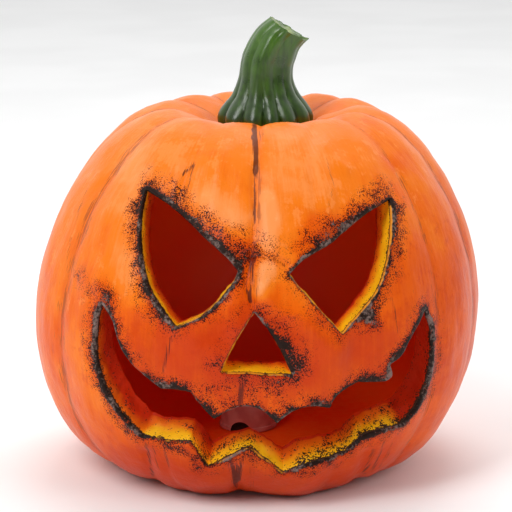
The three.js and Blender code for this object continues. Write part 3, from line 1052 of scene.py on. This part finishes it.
def painted_skin():
    """Sprayed orange, rubbed lighter on the bumps, stippled black round the openings."""
    r = Recipe("painted_skin")
    broad, patch = r.noise(42, 2), r.noise(11, 3)
    blotch, grain, dots = r.noise(3.2, 3, rough=0.6), r.noise(1.1, 2, rough=0.6), r.noise(0.6, 1)
    fibres, streaks = r.fibres(1.9, 20), r.fibres(0.9, 9)
    # Lighter orange where random tone and the painted light value rise, as painted highlights;
    # deeper red where that value holds painted shade.
    light = r.weigh((broad, 0.9), (patch, 0.6), (fibres, 0.4), (r.value("peach"), 0.7))
    colour = r.paint(srgb(196, 54, 0), light, 0.1, 0.95, (230, 94, 1))
    colour = r.paint(colour, light, 0.8, 1.25, (240, 120, 20))
    colour = r.paint(colour, light, 1.25, 1.95, (247, 158, 94))
    rubbed = r.weigh((r.noise(8, 4, rough=0.7), 1.0), (fibres, 0.3), (r.value("peach"), 0.22))
    colour = r.paint(colour, rubbed, 0.78, 0.90, (246, 140, 66), 0.6)
    colour = r.paint(colour, rubbed, 0.56, 0.42, (206, 62, 4), 0.45)
    groove = r.value("groove")
    # Darker orange down the grooves: painted shade.
    colour = r.paint(colour, groove, 0.35, 0.95, (196, 66, 16), 0.4)
    crease = r.ramp(groove, 0.25, 0.75)
    smudge = r.weigh((crease, 0.30), (streaks, 0.9), (fibres, 0.35), (patch, 0.4))
    colour = r.paint(colour, smudge, 1.06, 1.18, (104, 40, 30), 0.5)
    line = r.weigh((r.value("lines"), 1.0), (r.fibres(0.55, 14), 1.8))
    colour = r.paint(colour, line, 1.5, 1.78, (70, 28, 22), 0.85)
    black = r.value("black")
    colour = r.paint(colour, black, 0.15, 0.9, (172, 44, 8), 0.5)
    wash = r.weigh((black, 1.0), (blotch, 0.5))
    colour = r.paint(colour, wash, 0.8, 1.3, (80, 34, 20), 0.62)
    cluster = r.noise(7, 2)
    spots = r.weigh((black, 1.0), (cluster, 0.5), (blotch, 0.8), (grain, 0.6), (dots, 0.5))
    # Grey-lilac patches on the black ink: a painted sheen where the rounded rims catch light.
    ink_sheen = r.weigh((r.noise(12, 1), 0.8), (r.noise(1.7, 2, rough=0.7), 0.8), (black, 0.15))
    ink = r.paint(srgb(34, 19, 13), ink_sheen, 0.90, 1.18, (142, 118, 110), 0.8)
    covered = r.ramp(spots, 1.92, 2.06)
    stray = r.weigh((black, 0.34), (dots, 1.0), (grain, 0.4), (cluster, 0.7))
    freckled = r.math("MULTIPLY", r.ramp(stray, 1.25, 1.3), r.ramp(black, 0.03, 0.2))
    halo = r.math("MULTIPLY", r.ramp(stray, 1.1, 1.25, 0.0, 0.55), r.ramp(black, 0.03, 0.2))
    colour = r.mix(halo, colour, srgb(160, 38, 8))
    colour = r.mix(freckled, colour, srgb(52, 20, 10))
    colour = r.mix(covered, colour, ink)
    edge = r.ramp(r.value("edge"), 1.3, 0.2)
    scraped = r.weigh((edge, 1.0), (r.value("yellow"), 2.0), (blotch, 1.2))
    colour = r.paint(colour, scraped, 3.35, 3.65, (236, 150, 34), 0.85)
    rough = r.weigh((patch, 0.16), (fibres, 0.12), (covered, 0.12))
    bumps = r.weigh((r.noise(3, 3), 1.0), (fibres, 0.6), (covered, 0.6), (grain, 0.3))
    return r.finish(colour, r.math("ADD", rough, 0.2), 0.14, bumps, 0.22)


def cut_foam():
    """Cut walls: yellow paint near the edge, orange and then red further in, partly paint and
    partly painted shade deeper in the opening.
    """
    r = Recipe("cut_foam")
    deep, yellow = r.value("deep"), r.value("yellow")
    patch, grain, dots = r.noise(6, 3), r.noise(1.6, 2), r.noise(0.8, 1)
    # Towards the hollow the wall turns orange and red: part paint, part painted shade.
    inwards = r.weigh((deep, 1.0), (yellow, -1.0), (patch, 0.5))
    colour = r.paint(srgb(255, 190, 14), inwards, -0.45, 0.1, (246, 118, 5))
    colour = r.paint(colour, inwards, -0.15, 0.65, (206, 44, 4))
    pale = r.weigh((r.noise(3, 2), 1.0), (yellow, 0.35), (deep, -0.6))
    colour = r.paint(colour, pale, 0.75, 1.0, (252, 196, 40), 0.5)
    spots = r.weigh((r.value("black"), 0.7), (grain, 0.7), (dots, 0.9), (patch, 0.8))
    colour = r.paint(colour, spots, 1.42, 1.52, (52, 32, 16))
    bumps = r.weigh((patch, 1.0), (grain, 0.5))
    return r.finish(colour, r.ramp(grain, 0.3, 0.7, 0.42, 0.6), 0.4, bumps, 0.22)


def hollow_paint():
    """The smooth red-orange inside of the moulding."""
    r = Recipe("hollow_paint")
    broad, grain = r.noise(60, 1), r.noise(4, 3)
    colour = r.paint(srgb(255, 66, 2), broad, 0.3, 0.7, (255, 88, 5))
    return r.finish(colour, r.ramp(grain, 0.3, 0.7, 0.42, 0.55), 0.35, grain, 0.08)


def stem_paint():
    """Glossy green, lighter up the stalk, with painted shade in the rib valleys, brown patches as
    a painted reflection of the orange body, and a pale torn end.
    """
    r = Recipe("stem_paint")
    up = r.ramp(r.node("SeparateXYZ", {0: r.place}, "Z"), 180 * MM, 226 * MM)
    fibres = r.noise(2.6, 3, stretch=(1.2, 1.2, 0.12), rough=0.6)
    patch, grain = r.noise(8, 3), r.noise(1.4, 2)
    tone = r.weigh((up, 0.3), (fibres, 0.6), (patch, 0.6))
    colour = r.paint(srgb(30, 56, 8), tone, 0.45, 1.0, (60, 98, 14))
    colour = r.paint(colour, tone, 0.9, 1.35, (98, 130, 30))
    # Darker green in the rib valleys: painted shade.
    colour = r.paint(colour, r.value("valley"), 0.45, 1.0, (22, 38, 12), 0.55)
    # Brown patches: a painted reflection of the orange body in the glossy stem.
    orange_reflection = r.weigh((r.noise(5, 3), 1.0), (grain, 0.35))
    colour = r.paint(colour, orange_reflection, 0.86, 0.98, (104, 62, 30), 0.45)
    torn = r.weigh((r.value("cut"), 0.8), (grain, 0.5))
    pale = r.paint(srgb(70, 98, 32), patch, 0.35, 0.65, (140, 158, 66))
    colour = r.mix(r.ramp(torn, 0.75, 1.0), colour, pale)
    bumps = r.weigh((fibres, 0.8), (grain, 0.3))
    return r.finish(colour, r.ramp(patch, 0.3, 0.7, 0.27, 0.37), 0.62, bumps, 0.12)


def light_plastic():
    """Milky moulded plastic, painted reddish mauve for the red light of the hollow that falls on
    it.
    """
    r = Recipe("light_plastic")
    patch, grain = r.noise(9, 2), r.noise(0.9, 2)
    colour = r.paint(srgb(186, 98, 90), patch, 0.35, 0.65, (206, 124, 114))
    return r.finish(colour, r.ramp(patch, 0.3, 0.7, 0.36, 0.46), 0.5, grain, 0.05)


def notch_painted_shade():
    """The same plastic, painted nearly black inside the notch as painted shade."""
    r = Recipe("notch_painted_shade")
    grain = r.noise(1.5, 2)
    colour = r.paint(srgb(38, 16, 14), grain, 0.35, 0.65, (56, 24, 20))
    return r.finish(colour, r.ramp(grain, 0.3, 0.7, 0.5, 0.6), 0.3, grain, 0.05)


def pale_floor():
    r = Recipe("pale_floor")
    colour = r.paint(srgb(246, 246, 246), r.noise(160, 2), 0.35, 0.65, (250, 250, 250))
    return r.finish(colour, 0.7, 0.2)


# ---- pieces ----


def make_shell():
    points, faces, materials, values = shell_mesh()
    points, faces, values = drop_unused(points, faces, values)
    shell = mesh_object("lantern_shell", points, faces, values, materials)
    shell.data.set_sharp_from_angle(angle=math.radians(48))
    for material in (painted_skin(), cut_foam(), hollow_paint()):
        shell.data.materials.append(material)
    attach(shell, "root")
    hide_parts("shell")


def make_stem():
    points, faces, values = stem_mesh()
    stem = mesh_object("green_stem", points, faces, values)
    stem.data.set_sharp_from_angle(angle=math.radians(60))
    stem.data.materials.append(stem_paint())
    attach(stem, "root")
    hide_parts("stem")


def make_light_unit():
    unit = light_unit_object()
    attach(unit, "root")
    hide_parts("light_unit")


# ---- studio ----

VIEW_ELEVATION = math.radians(14)
VIEW_DISTANCE = 1300.0
VIEW_HEIGHT = 81.5  # the camera looks at this height on the middle line
# The sky is dim in front of the face, at -Y, and bright behind it: two Y, two strengths.
SKY_RANGE = (-0.5, 0.7, 0.26, 1.15)
FRAME_MM = 265.728  # width of the picture at the object
SENSOR = 36.0
SHIFT_Y = 0.0918  # the picture's middle is above the point looked at, by a share of its width
LIGHT_AIM = 100.0  # the lights point at this height on the middle line
FLOOR_HALF, FLOOR_GAP = 4.0, 0.05  # half the floor's side in metres, its gap in millimetres


def make_camera():
    data = bpy.data.cameras.new("camera")
    data.sensor_width = SENSOR
    data.lens = SENSOR * VIEW_DISTANCE / FRAME_MM
    data.shift_y = SHIFT_Y
    data.clip_start = 0.05
    back, up = math.cos(VIEW_ELEVATION), math.sin(VIEW_ELEVATION)
    place = (0, -VIEW_DISTANCE * back * MM, (VIEW_HEIGHT + VIEW_DISTANCE * up) * MM)
    camera = add_object("camera", data, place)
    camera.rotation_euler = (math.pi / 2 - VIEW_ELEVATION, 0, 0)
    bpy.context.scene.camera = camera


def area_light(name, location, size, power, shines=True):
    data = bpy.data.lights.new(name, "AREA")
    data.shape, data.energy = "RECTANGLE", power
    data.size, data.size_y = size
    light = add_object(name, data, location)
    light.visible_glossy = shines
    way = Vector((0, 0, LIGHT_AIM * MM)) - light.location
    light.rotation_euler = way.to_track_quat("-Z", "Y").to_euler()


def make_studio():
    scene = bpy.context.scene
    scene.view_settings.view_transform = "Standard"
    world = bpy.data.worlds.new("studio")
    scene.world = world
    world.use_nodes = True
    tree = world.node_tree
    sky = tree.nodes["Background"].inputs
    way = add_node(tree, "TexCoord", {}, "Generated")
    back = add_node(tree, "SeparateXYZ", {0: way}, "Y")
    feed(tree, sky["Color"], (1, 1, 1, 1))
    feed(tree, sky["Strength"], add_node(tree, "MapRange", span(back, *SKY_RANGE), "Result"))
    area_light("key", (-0.85, -1.05, 1.4), (0.6, 1.3), 19)
    area_light("fill", (1.25, -0.9, 1.05), (0.7, 0.7), 5, shines=False)
    area_light("top", (0.1, 0.7, 1.7), (1.0, 1.0), 10)
    low, half = CAD_BOX[0].z / MM - FLOOR_GAP, FLOOR_HALF / MM
    corners = [(-half, -half, low), (half, -half, low), (half, half, low), (-half, half, low)]
    floor = mesh_object("floor", corners, [(0, 1, 2, 3)])
    floor.data.materials.append(pale_floor())


make_camera()
make_studio()
make_shell()
make_stem()
make_light_unit()
